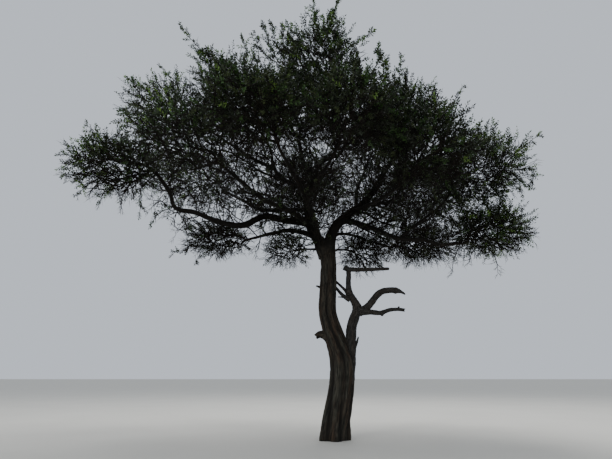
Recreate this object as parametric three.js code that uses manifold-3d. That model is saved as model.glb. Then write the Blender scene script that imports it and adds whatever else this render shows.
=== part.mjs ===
// Savanna tree: a leaning trunk with a dead side branch and a wide open crown of leafy masses
import * as THREE from "three";
import { mergeVertices } from "three/addons/utils/BufferGeometryUtils.js";
import Module from "manifold-3d";

const wasm = await Module();
wasm.setup();
const { Manifold, Mesh } = wasm;

// Real sizes in metres from the foot of the trunk: x right, y away from the viewer, z up
const METRE = 1000;
const GAP = 0.3; // millimetres left open where one node meets the next
const LIMB_SIDES = 8;
const TRUNK_SIDES = 20;
const LEADER_SIDES = 10;
const DEAD_SIDES = 6;

// Trunk: height, lean to the right, radius
const TRUNK = [
  [-0.2, -0.04, 0.375],
  [0.25, 0.005, 0.355],
  [0.85, 0.11, 0.338],
  [1.5, 0.21, 0.325],
  [1.95, 0.215, 0.318],
  [2.4, 0.09, 0.29],
  [2.8, -0.05, 0.262],
  [3.2, -0.14, 0.23],
  [4.1, -0.11, 0.238],
  [4.7, -0.1, 0.225],
  [5.05, -0.15, 0.215],
  [5.25, -0.17, 0.13],
];
const ROOT_TOES = 5;
const TOE_REACH = 0.16; // how far the toes stand out of the trunk, as a share of its radius
const TOE_HEIGHT = 0.35;
const FLUTE_DEPTH = 0.045;

// Leaders: fused to the trunk for their first part, then a node of their own
const LEADER_FOOT = 0.5;
const LEADERS = {
  leader_left: {
    base: 0.16,
    tip: 0.06,
    route: [
      [-0.15, 0, 4.75],
      [-0.36, 0.03, 5.22],
      [-0.57, 0.1, 5.62],
      [-0.67, 0.25, 6.2],
      [-0.67, 0.5, 7.05],
      [-0.52, 0.62, 7.57],
      [-0.83, 0.8, 8.12],
      [-0.93, 0.9, 8.75],
    ],
  },
  leader_right: {
    base: 0.175,
    tip: 0.06,
    route: [
      [-0.13, 0, 4.75],
      [-0.06, 0, 5.22],
      [0.12, 0.02, 5.66],
      [0.56, 0.1, 6.1],
      [0.94, 0.2, 6.41],
      [1.31, 0.1, 6.85],
      [1.64, -0.1, 7.4],
      [1.88, -0.45, 7.66],
    ],
  },
};

// Boughs: radius where they leave their parent and at the tip, and the knees they pass through
const BOUGHS = {
  bough_left: {
    base: 0.12,
    tip: 0.055,
    route: [
      [-0.64, 0.2, 5.87],
      [-1.26, 0.1, 5.87],
      [-1.93, 0, 5.98],
      [-2.56, -0.2, 5.64],
      [-3.2, -0.4, 5.68],
      [-3.8, -0.6, 5.87],
      [-4.33, -0.8, 5.95],
      [-4.48, -0.95, 6.35],
      [-4.72, -1.1, 6.68],
    ],
  },
  bough_low_left: {
    base: 0.085,
    tip: 0.042,
    route: [
      [-0.48, 0.06, 5.38],
      [-0.8, 0.08, 5.5],
      [-1.2, 0.1, 5.58],
      [-1.7, 0.22, 5.53],
      [-2.3, 0.4, 5.43],
    ],
  },
  bough_back_left: {
    base: 0.08,
    tip: 0.042,
    route: [
      [-0.66, 0.3, 6.3],
      [-1.38, 0.65, 6.42],
      [-2.18, 0.95, 6.55],
      [-2.7, 1.35, 6.95],
      [-3.45, 1.95, 7.55],
    ],
  },
  bough_shoulder_left: {
    base: 0.085,
    tip: 0.04,
    route: [
      [-0.68, 0.48, 7.02],
      [-1.38, 0.4, 7.3],
      [-1.71, 0.2, 7.62],
      [-1.82, -0.1, 8.12],
      [-2.02, -0.35, 8.4],
    ],
  },
  bough_mid_left: {
    base: 0.06,
    tip: 0.035,
    route: [
      [-1.71, 0.2, 7.62],
      [-2.28, 0, 7.8],
      [-2.76, -0.25, 8.02],
      [-3.35, -0.45, 8.35],
    ],
  },
  bough_front_left: {
    base: 0.085,
    tip: 0.04,
    route: [
      [-0.57, 0.1, 5.62],
      [-1.0, -0.7, 5.78],
      [-1.88, -1.5, 5.95],
      [-2.4, -2.05, 6.22],
      [-2.72, -2.4, 6.4],
    ],
  },
  bough_near_left: {
    base: 0.095,
    tip: 0.042,
    route: [
      [-0.38, 0.03, 5.28],
      [-0.48, -0.5, 5.6],
      [-0.72, -1.3, 5.95],
      [-0.96, -2.1, 6.22],
      [-1.25, -2.95, 6.42],
    ],
  },
  bough_near_right: {
    base: 0.06,
    tip: 0.036,
    route: [
      [-0.72, -1.3, 5.95],
      [-0.52, -2.0, 6.1],
      [-0.28, -2.6, 6.24],
      [-0.1, -3.02, 6.42],
    ],
  },
  bough_top_front: {
    base: 0.07,
    tip: 0.036,
    route: [
      [-0.53, 0.61, 7.5],
      [-0.2, 0.4, 7.94],
      [0.3, 0.1, 8.05],
      [0.42, -0.5, 8.27],
      [0.22, -1.1, 8.6],
      [0.1, -1.45, 8.86],
    ],
  },
  bough_back: {
    base: 0.09,
    tip: 0.042,
    route: [
      [-0.67, 0.3, 6.4],
      [-0.6, 1.2, 6.75],
      [-0.45, 2.2, 7.25],
      [-0.48, 3.05, 7.85],
    ],
  },
  bough_upper_back: {
    base: 0.07,
    tip: 0.036,
    route: [
      [0.76, 0.15, 6.27],
      [0.86, 0.7, 7.05],
      [1.15, 1.25, 7.85],
      [1.38, 1.6, 8.5],
    ],
  },
  bough_back_right: {
    base: 0.08,
    tip: 0.04,
    route: [
      [0.94, 0.2, 6.41],
      [1.5, 1.1, 6.78],
      [2.2, 1.95, 7.2],
    ],
  },
  bough_right: {
    base: 0.095,
    tip: 0.045,
    route: [
      [0.34, 0.06, 5.9],
      [1.09, 0, 5.65],
      [1.86, -0.2, 5.25],
      [2.6, -0.3, 5.17],
      [3.0, -0.3, 5.04],
      [3.6, -0.2, 5.1],
    ],
  },
  bough_mid_right: {
    base: 0.05,
    tip: 0.032,
    route: [
      [1.95, -0.21, 5.24],
      [2.3, -0.3, 5.56],
      [2.72, -0.4, 5.85],
      [3.1, -0.5, 6.15],
    ],
  },
  bough_front_right: {
    base: 0.08,
    tip: 0.038,
    route: [
      [0.56, 0.1, 6.1],
      [0.95, -0.75, 6.02],
      [1.2, -1.4, 5.95],
      [1.5, -2.05, 5.98],
    ],
  },
  bough_low_right: {
    base: 0.055,
    tip: 0.03,
    route: [
      [-0.05, 0, 5.26],
      [0.22, 0.22, 5.5],
      [0.65, 0.5, 5.56],
      [1.15, 0.7, 5.44],
      [1.72, 0.9, 5.34],
    ],
  },
  bough_skirt_left: {
    base: 0.05,
    tip: 0.03,
    route: [
      [-0.11, 0, 4.86],
      [-0.4, 0.03, 4.98],
      [-0.62, 0.06, 5.0],
    ],
  },
  bough_skirt_right: {
    base: 0.045,
    tip: 0.03,
    route: [
      [-0.12, 0, 4.8],
      [0.16, 0.22, 5.02],
      [0.36, 0.42, 5.08],
    ],
  },
};

// Dead branch: every limb is a piece of one node
const DEAD = {
  stem: {
    base: 0.185,
    tip: 0.125,
    route: [
      [0.27, 0, 1.3],
      [0.38, 0, 1.8],
      [0.45, 0, 2.4],
      [0.505, 0, 2.8],
      [0.57, 0, 3.02],
      [0.66, 0, 3.2],
    ],
  },
  up_left: {
    base: 0.125,
    tip: 0.085,
    route: [
      [0.68, 0, 3.18],
      [0.65, 0, 3.39],
      [0.56, 0, 3.57],
      [0.46, 0, 3.71],
    ],
  },
  prong_low: {
    base: 0.065,
    tip: 0.035,
    route: [
      [0.5, 0, 3.54],
      [0.32, 0.03, 3.64],
      [0.1, 0.2, 3.93],
      [0.03, 0.3, 4.02],
    ],
  },
  prong_high: {
    base: 0.05,
    tip: 0.028,
    route: [
      [0.45, 0, 3.69],
      [0.34, 0.04, 3.83],
      [0.11, 0.2, 4.1],
      [0.03, 0.3, 4.2],
    ],
  },
  snag: {
    base: 0.035,
    tip: 0.014,
    route: [
      [0.42, 0, 3.58],
      [0.28, -0.03, 3.605],
      [0.14, -0.05, 3.61],
    ],
  },
  upright: {
    base: 0.078,
    tip: 0.06,
    route: [
      [0.48, 0, 3.64],
      [0.45, 0, 3.85],
      [0.463, 0, 4.25],
      [0.455, 0, 4.42],
    ],
  },
  level: {
    base: 0.062,
    tip: 0.035,
    route: [
      [0.33, 0, 4.47],
      [0.454, 0, 4.4],
      [0.9, 0, 4.39],
      [1.62, 0, 4.414],
    ],
  },
  horn: {
    base: 0.105,
    tip: 0.082,
    route: [
      [0.7, 0, 3.2],
      [0.9, 0, 3.29],
      [1.075, 0, 3.465],
      [1.236, 0, 3.672],
      [1.39, 0, 3.776],
      [1.6, 0, 3.805],
      [1.84, 0, 3.785],
    ],
  },
  horn_point: {
    base: 0.084,
    tip: 0.02,
    route: [
      [1.72, 0, 3.8],
      [1.86, 0, 3.775],
      [1.95, 0, 3.735],
      [2.02, 0, 3.68],
    ],
  },
  lower: {
    base: 0.085,
    tip: 0.045,
    route: [
      [0.7, 0, 3.2],
      [1.02, 0, 3.2],
      [1.3, 0, 3.18],
      [1.42, 0, 3.215],
      [1.55, 0, 3.262],
      [1.8, 0, 3.276],
      [1.96, 0, 3.255],
    ],
  },
  lower_knob: {
    base: 0.062,
    tip: 0.032,
    route: [
      [1.34, 0, 3.2],
      [1.345, 0, 3.14],
      [1.36, 0, 3.09],
    ],
  },
  lower_spur: {
    base: 0.04,
    tip: 0.016,
    route: [
      [1.79, 0, 3.27],
      [1.81, 0, 3.32],
      [1.825, 0, 3.37],
    ],
  },
  stub: {
    base: 0.07,
    tip: 0.018,
    route: [
      [0.5, 0, 2.2],
      [0.61, -0.01, 2.35],
      [0.672, -0.02, 2.53],
    ],
  },
};

// Stubs left on the trunk by lost limbs
const STUBS = [
  {
    base: 0.1,
    tip: 0.03,
    route: [
      [-0.05, 0, 2.52],
      [-0.2, -0.01, 2.6],
      [-0.35, -0.02, 2.61],
      [-0.46, -0.03, 2.54],
    ],
  },
  {
    base: 0.07,
    tip: 0.02,
    route: [
      [-0.2, -0.04, 3.85],
      [-0.36, -0.05, 3.885],
      [-0.44, -0.06, 3.91],
    ],
  },
];

// Leafy masses: the bough that carries each, its centre and its reach each way
const MASSES = {
  foliage_tip_left: { limb: "bough_left", centre: [-5.85, -1.3, 6.95], reach: [1.5, 1.5, 0.85] },
  foliage_mid_left: { limb: "bough_mid_left", centre: [-4.85, -0.6, 8.8], reach: [1.6, 1.7, 1.05] },
  foliage_front_left: { limb: "bough_front_left", centre: [-3.7, -3.2, 6.9], reach: [1.45, 1.4, 0.95] },
  foliage_back_left: { limb: "bough_back_left", centre: [-4.8, 2.8, 8.4], reach: [1.9, 1.8, 1.3] },
  foliage_low_left: { limb: "bough_low_left", centre: [-3.4, 0.6, 5.45], reach: [1.2, 1.1, 0.55] },
  foliage_near_left: { limb: "bough_near_left", centre: [-1.8, -4, 7], reach: [1.35, 1.3, 1] },
  foliage_near_right: { limb: "bough_near_right", centre: [0.3, -4, 6.88], reach: [1.25, 1.3, 0.92] },
  foliage_shoulder_left: {
    limb: "bough_shoulder_left",
    centre: [-2.9, -0.9, 9.5],
    reach: [1.65, 1.6, 1.15],
  },
  foliage_top_front: { limb: "bough_top_front", centre: [-0.4, -2.1, 9.7], reach: [1.35, 1.4, 1.25] },
  foliage_top_back: { limb: "leader_left", centre: [-1.0, 1.1, 10.2], reach: [2.0, 1.8, 1.4] },
  foliage_shoulder_right: { limb: "leader_right", centre: [1.95, -1.0, 8.6], reach: [1.5, 1.6, 1.1] },
  foliage_front_right: { limb: "bough_front_right", centre: [2.05, -3.2, 6.5], reach: [1.35, 1.4, 1.0] },
  foliage_mid_right: { limb: "bough_mid_right", centre: [4.2, -0.6, 7.15], reach: [1.55, 1.7, 1.15] },
  foliage_tip_right: { limb: "bough_right", centre: [4.7, 0.1, 5.7], reach: [1.3, 1.6, 0.8] },
  foliage_low_right: { limb: "bough_low_right", centre: [2.85, 1.3, 5.5], reach: [1.4, 1.2, 0.7] },
  foliage_back_right: { limb: "bough_back_right", centre: [3.6, 3.1, 8.0], reach: [1.9, 1.8, 1.35] },
  foliage_back: { limb: "bough_back", centre: [-0.6, 4.3, 8.8], reach: [2.1, 1.6, 1.35] },
  foliage_upper_back: { limb: "bough_upper_back", centre: [1.9, 2.2, 9.6], reach: [1.7, 1.6, 1.25] },
  foliage_skirt_left: { limb: "bough_skirt_left", centre: [-1.3, 0.1, 4.95], reach: [0.85, 0.85, 0.45] },
  foliage_skirt_right: { limb: "bough_skirt_right", centre: [1.05, 1.0, 5.15], reach: [0.95, 0.9, 0.65] },
};
const MARGIN = 6; // millimetres a mass keeps inside its own space
const TWIG_TIP = 12; // radius of the finest twig here
const PATH_SHARE = 0.4; // how much a long way back to the stem counts against a new twig
const TWIGS_PER_SQUARE_METRE = 0.28; // by the mass's outer area
const SPRAYS_PER_SQUARE_METRE = 0.54;
const SPRAY_DEPTHS = [0.98, 0.74]; // shares of the reach: outer sprays and inner ones
const SPRAY_LONGEST = 1500;
const SPRAY_SHORTEST = 320;
const SPRAY_WIDTHS = [0.72, 0.56, 0.42]; // shares of its length, the widest that fits
const SPRAY_THICK = 0.02;
const SPRAY_SUNK = 2; // millimetres that its root goes into the twig
const SPRAY_SET_BACK = 0.5; // how far back along its twig it may start, as a share

// Number maker: the same run of numbers for the same seed
function seeded(seed) {
  let state = seed >>> 0;
  return () => {
    state = (Math.imul(state, 1664525) + 1013904223) >>> 0;
    return state / 4294967296;
  };
}

const point = (row) => new THREE.Vector3(...row).multiplyScalar(METRE);

// A closed body from rings of points, each ring the same length, capped at both ends
function bodyOfRings(rings) {
  const sides = rings[0].length;
  const flat = rings.flat();
  const faces = [];
  for (let r = 0; r + 1 < rings.length; r++) {
    for (let s = 0; s < sides; s++) {
      const a = r * sides + s;
      const b = r * sides + ((s + 1) % sides);
      faces.push(a, b, b + sides, a, b + sides, a + sides);
    }
  }
  const last = (rings.length - 1) * sides;
  for (let s = 1; s + 1 < sides; s++) {
    faces.push(0, s + 1, s, last, last + s, last + s + 1);
  }
  return bodyOf(flat, faces);
}

function bodyOf(points, faces) {
  const vertProperties = new Float32Array(points.flatMap((p) => [p.x, p.y, p.z]));
  return new Manifold(new Mesh({ numProp: 3, vertProperties, triVerts: new Uint32Array(faces) }));
}

// Rings across a smooth line through the route, turned as little as possible from one to the next
function ringsAlong(route, count, sides, grow, radiusAt) {
  const line = new THREE.CatmullRomCurve3(route, false, "centripetal");
  const rings = [];
  let across = null;
  for (let i = 0; i <= count; i++) {
    const t = i / count;
    const centre = line.getPointAt(t);
    const along = line.getTangentAt(t);
    if (!across) {
      across = Math.abs(along.x) < 0.9 ? new THREE.Vector3(1, 0, 0) : new THREE.Vector3(0, 1, 0);
    }
    across.addScaledVector(along, -across.dot(along)).normalize();
    const third = new THREE.Vector3().crossVectors(along, across);
    centre.addScaledVector(along, i === 0 ? -grow : i === count ? grow : 0);
    const ring = [];
    for (let s = 0; s < sides; s++) {
      const angle = (2 * Math.PI * s) / sides;
      const reach = radiusAt(t, angle, centre);
      ring.push(
        centre
          .clone()
          .addScaledVector(across, reach * Math.cos(angle))
          .addScaledVector(third, reach * Math.sin(angle)),
      );
    }
    rings.push(ring);
  }
  return rings;
}

// A tapering limb; grow makes the slightly larger copy that its neighbours are cut with
function limb(shape, grow = 0, sides = LIMB_SIDES) {
  const route = shape.route.map(point);
  const count = Math.max(4, Math.round(route.length * 1.3));
  const rings = ringsAlong(route, count, sides, grow, (t, angle) => {
    const straight = METRE * (shape.base + (shape.tip - shape.base) * t ** 0.8);
    return straight * (1 + 0.05 * Math.sin(3 * angle + 9 * t)) + grow;
  });
  return bodyOfRings(rings);
}

function trunkBody(grow = 0) {
  const route = TRUNK.map(([height, lean]) => point([lean, 0, height]));
  const heights = TRUNK.map((row) => row[0] * METRE);
  const radiusOf = (z) => {
    let row = heights.findIndex((height) => height >= z);
    row = row < 1 ? (row < 0 ? heights.length - 1 : 1) : row;
    const share = (z - heights[row - 1]) / (heights[row] - heights[row - 1]);
    const clamped = Math.min(1, Math.max(0, share));
    return METRE * (TRUNK[row - 1][2] + (TRUNK[row][2] - TRUNK[row - 1][2]) * clamped);
  };
  const rings = ringsAlong(route, 16, TRUNK_SIDES, grow, (t, angle, centre) => {
    const height = Math.max(0, centre.z) / METRE;
    const toes = TOE_REACH * Math.exp(-((height / TOE_HEIGHT) ** 2)) * Math.cos(ROOT_TOES * angle + 0.6);
    const flutes = FLUTE_DEPTH * Math.cos(7 * angle + 0.9 * height);
    return radiusOf(centre.z) * (1 + toes + flutes) + grow;
  });
  return bodyOfRings(rings).trimByPlane([0, 0, 1], 0);
}

function largestBody(solid) {
  const bodies = solid.decompose();
  return bodies.reduce((best, body) => (body.volume() > best.volume() ? body : best));
}

function geometryOf(solid) {
  const made = solid.getMesh();
  const positions = new Float32Array(made.numVert * 3);
  for (let i = 0; i < made.numVert; i++) {
    positions.set(made.vertProperties.subarray(i * made.numProp, i * made.numProp + 3), i * 3);
  }
  const geometry = new THREE.BufferGeometry();
  geometry.setAttribute("position", new THREE.BufferAttribute(positions, 3));
  geometry.setIndex(new THREE.BufferAttribute(made.triVerts, 1));
  return mergeVertices(geometry, 0.01);
}

// Drops the scraps that come loose where corners this close are taken as one
function settled(solid) {
  const geometry = geometryOf(solid);
  const vertProperties = geometry.attributes.position.array;
  const triVerts = new Uint32Array(geometry.index.array);
  return largestBody(new Manifold(new Mesh({ numProp: 3, vertProperties, triVerts })));
}

// Whether each edge belongs to two faces only
function edgesPaired(geometry) {
  const seen = new Set();
  const corners = geometry.index.array;
  for (let i = 0; i < corners.length; i++) {
    const after = i % 3 === 2 ? i - 2 : i + 1;
    seen.add(corners[i] + " " + corners[after]);
  }
  return seen.size === corners.length;
}

// Where a leader stops being part of the trunk
function leaderCut(shape) {
  const line = new THREE.CatmullRomCurve3(shape.route.map(point), false, "centripetal");
  const t = (LEADER_FOOT * METRE) / line.getLength();
  const along = line.getTangentAt(t);
  return { along, offset: along.dot(line.getPointAt(t)) };
}

function beforeCut(solid, cut) {
  return solid.trimByPlane([-cut.along.x, -cut.along.y, -cut.along.z], -cut.offset);
}

function afterCut(solid, cut) {
  return solid.trimByPlane([cut.along.x, cut.along.y, cut.along.z], cut.offset + GAP);
}

const solids = new Map();
const cutters = [];

function addSolid(name, solid, grown) {
  const cleared = cutters.reduce((left, cutter) => left.subtract(cutter), solid);
  solids.set(name, settled(largestBody(cleared)));
  cutters.push(grown);
}

const leaders = Object.entries(LEADERS);
const trunkPieces = (grow) => [
  trunkBody(grow),
  ...leaders.map(([, shape]) => beforeCut(limb(shape, grow, LEADER_SIDES), leaderCut(shape))),
  ...STUBS.map((shape) => limb(shape, grow, DEAD_SIDES)),
];
addSolid("trunk", Manifold.union(trunkPieces(0)), Manifold.union(trunkPieces(GAP)));
for (const [name, shape] of leaders) {
  const cut = leaderCut(shape);
  addSolid(name, afterCut(limb(shape, 0, LEADER_SIDES), cut), limb(shape, GAP, LEADER_SIDES));
}
for (const [name, shape] of Object.entries(BOUGHS)) {
  addSolid(name, limb(shape), limb(shape, GAP));
}
const deadPieces = (grow) => Object.values(DEAD).map((shape) => limb(shape, grow, DEAD_SIDES));
addSolid("dead_branch", Manifold.union(deadPieces(0)), Manifold.union(deadPieces(GAP)));

// Straight capsules round every limb, for keeping twigs and leaves off them
const trunkShape = { route: TRUNK.map(([height, lean]) => [lean, 0, height]), base: 0.42, tip: 0.3 };
const allShapes = [trunkShape, ...Object.values(LEADERS), ...Object.values(BOUGHS), ...Object.values(DEAD)];
const capsules = allShapes.flatMap((shape) => {
  const line = new THREE.CatmullRomCurve3(shape.route.map(point), false, "centripetal");
  const steps = shape.route.length * 2;
  const stops = line.getSpacedPoints(steps);
  return stops.slice(1).map((stop, i) => ({
    from: stops[i],
    to: stop,
    radius: 1.1 * METRE * (shape.base + ((shape.tip - shape.base) * i) / steps),
  }));
});

// Shortest distance between two straight lines, by closing in from both ends
function lineDistance(a, b, c, d) {
  const first = new THREE.Line3(a, b);
  const second = new THREE.Line3(c, d);
  const on = a.clone();
  const other = new THREE.Vector3();
  for (let i = 0; i < 8; i++) {
    second.closestPointToPoint(on, true, other);
    first.closestPointToPoint(other, true, on);
  }
  return on.distanceTo(other);
}

function clearOfLimbs(from, to, width) {
  return capsules.every((capsule) => {
    const room = lineDistance(from, to, capsule.from, capsule.to);
    return room > width + capsule.radius + MARGIN;
  });
}

const massList = Object.entries(MASSES).map(([name, mass]) => ({
  name,
  limb: mass.limb,
  centre: point(mass.centre),
  reach: point(mass.reach),
}));

function reachToward(mass, way) {
  return 1 / Math.hypot(way.x / mass.reach.x, way.y / mass.reach.y, way.z / mass.reach.z);
}

// A mass's own space: its round outline, less what is nearer its neighbours
function spaceOf(mass) {
  const planes = massList
    .filter((other) => other !== mass)
    .map((other) => {
      const way = other.centre.clone().sub(mass.centre);
      const apart = way.length();
      way.normalize();
      const mine = reachToward(mass, way);
      const theirs = reachToward(other, way);
      return { way, limit: (apart * mine) / (mine + theirs) - MARGIN };
    });
  return (p) => {
    const out = p.clone().sub(mass.centre);
    const round = Math.hypot(out.x / mass.reach.x, out.y / mass.reach.y, out.z / mass.reach.z);
    return round < 1 - MARGIN / 400 && planes.every((plane) => out.dot(plane.way) < plane.limit);
  };
}

function areaOf(mass) {
  const { x, y, z } = mass.reach.clone().divideScalar(METRE);
  const mean = ((x * y) ** 1.6 + (x * z) ** 1.6 + (y * z) ** 1.6) / 3;
  return 4 * Math.PI * mean ** (1 / 1.6);
}

// Points spread evenly round a mass, two in three at the outer depth, moved in until they are inside
function spread(mass, inside, count, outer, inner, turn) {
  const goals = [];
  for (let i = 0; i < count; i++) {
    const up = 1 - (2 * (i + 0.5)) / count;
    const around = i * Math.PI * (3 - Math.sqrt(5)) + turn;
    const flat = Math.sqrt(1 - up * up);
    const way = new THREE.Vector3(flat * Math.cos(around), flat * Math.sin(around), up);
    for (let depth = i % 3 === 0 ? inner : outer; depth > 0.2; depth -= 0.04) {
      const goal = way.clone().multiply(mass.reach).multiplyScalar(depth).add(mass.centre);
      if (inside(goal)) {
        goals.push(goal);
        break;
      }
    }
  }
  return goals;
}

// A mass's furthest points, straight out from its centre, where its own space goes that far
function furthest(mass, inside) {
  const goals = [];
  for (const side of [-1, 1]) {
    for (const axis of ["x", "y", "z"]) {
      const goal = mass.centre.clone();
      goal[axis] += side * SPRAY_DEPTHS[0] * mass.reach[axis];
      goals.push(goal);
    }
  }
  return goals.filter(inside);
}

// Growing rule: the next goal reached is the one with the shortest new twig, counting part of the way back
function growFrom(root, goals) {
  const nodes = [{ at: root, parent: null, way: 0, load: 0 }];
  const waiting = [...goals];
  while (waiting.length) {
    let best = null;
    waiting.forEach((goal, index) => {
      for (const node of nodes) {
        const length = goal.distanceTo(node.at);
        const cost = length + PATH_SHARE * node.way;
        if (!best || cost < best.cost) {
          best = { cost, index, node, length };
        }
      }
    });
    const [at] = waiting.splice(best.index, 1);
    nodes.push({ at, parent: best.node, way: best.node.way + best.length, load: 0 });
  }
  for (const node of nodes.slice(1)) {
    for (let up = node; up; up = up.parent) {
      up.load += 1;
    }
  }
  return nodes;
}

// A three-sided ring across the way a twig runs
function twigRing(centre, along, across, radius) {
  across.addScaledVector(along, -across.dot(along)).normalize();
  const third = new THREE.Vector3().crossVectors(along, across);
  return [0, 1, 2].map((corner) => {
    const angle = (2 * Math.PI * corner) / 3;
    return centre
      .clone()
      .addScaledVector(across, radius * Math.cos(angle))
      .addScaledVector(third, radius * Math.sin(angle));
  });
}

// Keeps the nodes that stay in the mass's space and off the limbs, with the twigs that lead to them
function keepClear(nodes, inside, radiusOf) {
  const kept = [nodes[0]];
  for (const node of nodes.slice(1)) {
    const radius = radiusOf(node.load);
    const along = node.at.clone().sub(node.parent.at).normalize();
    const ring = twigRing(node.at, along, new THREE.Vector3(0.3, 0.5, 0.8), radius);
    const from = node.parent.parent ? node.parent.at : node.parent.at.clone().lerp(node.at, 0.2);
    if (kept.includes(node.parent) && ring.every(inside) && clearOfLimbs(from, node.at, radius)) {
      kept.push(node);
    }
  }
  return kept;
}

// Twigs as long tapering lines: each goes on into its heaviest side and the others start from its middle
function twigBodies(nodes, radiusOf, foot) {
  const next = (node) => nodes.filter((other) => other.parent === node).sort((a, b) => b.load - a.load);
  const bodies = [];
  const starts = [[foot, nodes[0]]];
  for (const node of nodes) {
    starts.push(...next(node).slice(1).map((side) => [node, side]));
  }
  for (const [from, first] of starts) {
    const line = [from, first];
    for (let step = next(first)[0]; step; step = next(step)[0]) {
      line.push(step);
    }
    const across = new THREE.Vector3(0.3, 0.5, 0.8);
    const rings = line.map((node, i) => {
      const before = line[Math.max(0, i - 1)].at;
      const after = line[i === 0 ? 1 : Math.min(line.length - 1, from === foot && i === 1 ? 1 : i + 1)].at;
      const load = i === 0 && from !== foot ? first.load : node.load;
      return twigRing(node.at, after.clone().sub(before).normalize(), across, radiusOf(load));
    });
    bodies.push(bodyOfRings(rings));
  }
  return bodies;
}

// A leaf spray as its six corners: root, tip, two sides, top and underside
function sprayCorners(root, tip, up, width) {
  const along = tip.clone().sub(root);
  const length = along.length();
  along.normalize();
  const side = new THREE.Vector3().crossVectors(along, up).normalize();
  const over = new THREE.Vector3().crossVectors(side, along);
  const middle = root.clone().lerp(tip, 0.5);
  return [
    root,
    tip,
    middle.clone().addScaledVector(side, 0.5 * width * length),
    middle.clone().addScaledVector(side, -0.5 * width * length),
    middle.clone().addScaledVector(over, 0.5 * SPRAY_THICK * length),
    middle.clone().addScaledVector(over, -0.5 * SPRAY_THICK * length),
  ];
}
const SPRAY_FACES = [0, 2, 4, 2, 1, 4, 1, 3, 4, 3, 0, 4, 2, 0, 5, 1, 2, 5, 3, 1, 5, 0, 3, 5];
const SPRAY_LINES = [[0, 1], [0, 2], [0, 3], [1, 2], [1, 3], [2, 3]];

// A spray from the nearest twig to its goal, as wide as the space and the limbs leave room for
function sprayTo(goal, nodes, inside, random) {
  let root = null;
  const back = 1 - SPRAY_SET_BACK * random();
  for (const node of nodes.slice(1)) {
    const twig = new THREE.Line3(node.parent.at, node.at);
    const near = twig.at(back * twig.closestPointToPointParameter(goal, true), new THREE.Vector3());
    if (inside(near) && (!root || near.distanceTo(goal) < root.distanceTo(goal))) {
      root = near;
    }
  }
  if (!root || root.distanceTo(goal) < SPRAY_SHORTEST) {
    return null;
  }
  root.add(new THREE.Vector3(random() - 0.5, random() - 0.5, random() - 0.5).multiplyScalar(TWIG_TIP * 0.2));
  root.addScaledVector(goal.clone().sub(root).normalize(), -SPRAY_SUNK);
  const tip = goal.clone().sub(root).clampLength(0, SPRAY_LONGEST).add(root);
  for (const width of SPRAY_WIDTHS) {
    const up = new THREE.Vector3(random() - 0.5, random() - 0.5, 0.2 + 0.5 * random());
    const corners = sprayCorners(root, tip, up, width);
    const fits = corners.every(inside);
    const free = SPRAY_LINES.every(([a, b]) => clearOfLimbs(corners[a], corners[b], 40));
    if (fits && free) {
      return bodyOf(corners, SPRAY_FACES);
    }
  }
  return null;
}

function massBody(mass, seed) {
  const random = seeded(seed);
  const inside = spaceOf(mass);
  const shape = LEADERS[mass.limb] ?? BOUGHS[mass.limb];
  const line = new THREE.CatmullRomCurve3(shape.route.map(point), false, "centripetal");
  const along = line.getTangentAt(1);
  const thick = 0.9 * METRE * shape.tip;
  const foot = { at: line.getPointAt(1).addScaledVector(along, GAP) };
  const root = foot.at.clone().addScaledVector(along, 5 * thick);
  const area = areaOf(mass);
  const twigCount = Math.max(6, Math.round(area * TWIGS_PER_SQUARE_METRE));
  const sprayCount = Math.max(10, Math.round(area * SPRAYS_PER_SQUARE_METRE));
  const grown = growFrom(root, spread(mass, inside, twigCount, 0.44, 0.26, random()));
  const most = grown[0].load + 1;
  foot.load = most;
  const radiusOf = (load) => TWIG_TIP + (thick - TWIG_TIP) * Math.sqrt(load / most);
  const nodes = keepClear(grown, inside, radiusOf);
  const pieces = twigBodies(nodes, radiusOf, foot);
  const goals = [...furthest(mass, inside), ...spread(mass, inside, sprayCount, ...SPRAY_DEPTHS, random())];
  for (const goal of goals) {
    const spray = sprayTo(goal, nodes, inside, random);
    if (spray) {
      pieces.push(spray);
    }
  }
  return largestBody(Manifold.union(pieces));
}

massList.forEach((mass, index) => {
  let seed = 4100 + 17 * index;
  let solid = settled(massBody(mass, seed));
  while (!edgesPaired(geometryOf(solid))) {
    seed += 1;
    solid = settled(massBody(mass, seed));
  }
  solids.set(mass.name, solid);
});

// Meshes
const BARK = new THREE.MeshStandardMaterial({ color: 0x6b6153, roughness: 0.9 });
const DEAD_WOOD = new THREE.MeshStandardMaterial({ color: 0x77706a, roughness: 0.9 });
const LEAVES = new THREE.MeshStandardMaterial({ color: 0x4d5c2c, roughness: 0.7 });

function meshOf(name, solid) {
  const material = name.startsWith("foliage") ? LEAVES : name === "dead_branch" ? DEAD_WOOD : BARK;
  const mesh = new THREE.Mesh(geometryOf(solid), material);
  mesh.name = name;
  return mesh;
}

const group = new THREE.Group();
for (const [name, solid] of solids) {
  group.add(meshOf(name, solid));
}
export default group;
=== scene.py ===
import math
import bpy
import numpy as np
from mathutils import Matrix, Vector, noise


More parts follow.
